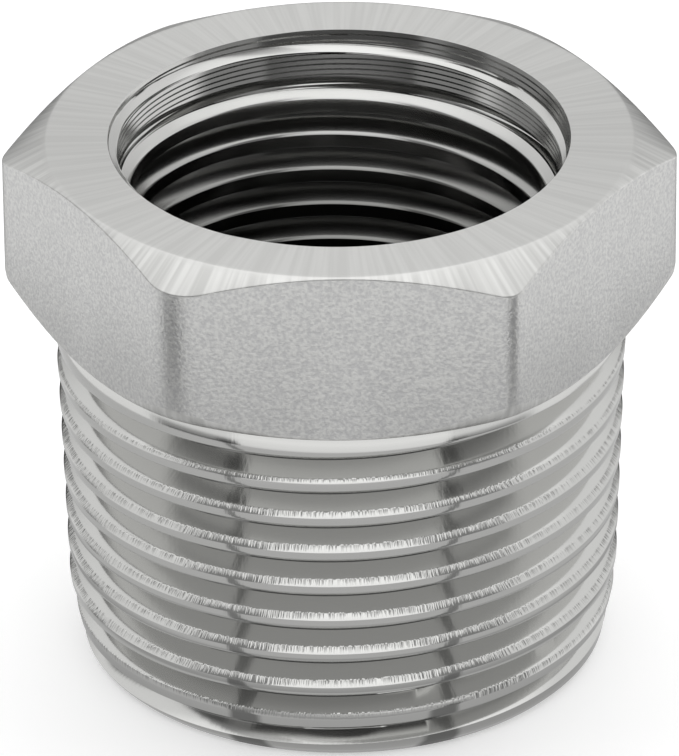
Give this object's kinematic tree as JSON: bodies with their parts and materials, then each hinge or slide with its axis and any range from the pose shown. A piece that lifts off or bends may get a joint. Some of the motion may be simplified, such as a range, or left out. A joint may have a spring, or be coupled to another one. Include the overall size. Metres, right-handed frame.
{
  "type": "hex reducing bushing",
  "caption": "Hexagon-headed reducing bushing for threaded pipe, with a tapered outside thread below the head and a smaller tapered thread in its through bore.",
  "frame": {"origin": "centre of the outside thread's small end face, which it stands on", "axes": "+Z along the bore's axis towards the hexagon head, -Y and +Y square to two opposite flats of the hexagon"},
  "size_m": [0.0308, 0.027, 0.0258],
  "materials": {
    "stainless": "turned, with fine tumbled flats"
  },
  "bodies": {
    "root": {"hex_bushing": "stainless"}
  },
  "joints": []
}
